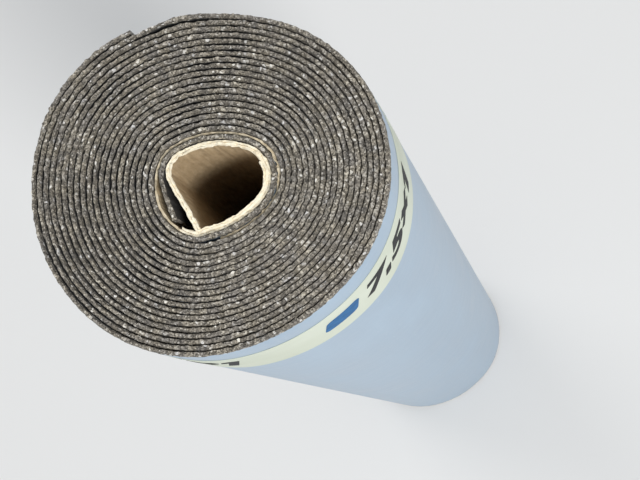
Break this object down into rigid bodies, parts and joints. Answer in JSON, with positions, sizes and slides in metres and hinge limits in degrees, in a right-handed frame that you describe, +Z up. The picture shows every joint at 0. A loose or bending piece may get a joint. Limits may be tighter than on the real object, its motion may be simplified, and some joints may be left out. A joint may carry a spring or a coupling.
{
  "type": "roll of roofing felt",
  "caption": "Roll of bitumen roofing felt standing on its end, wound on a lapped cardboard core, with a film-faced outer side and a plain label band.",
  "frame": {"origin": "middle of the roll's outline at its bottom end", "axes": "+Z up along the roll's axis; the outline's long way is along X; seen from above the sheet winds outwards clockwise and ends at the -X+Y side"},
  "size_m": [0.1842, 0.173, 1],
  "materials": {
    "felt": "gritty cut edges and a satin film face",
    "core_board": "matt greyboard with pale torn edges",
    "label_paper": "satin print"
  },
  "bodies": {
    "root": {"felt_roll": "felt", "cardboard_core": "core_board", "label_band": "label_paper"}
  },
  "joints": []
}
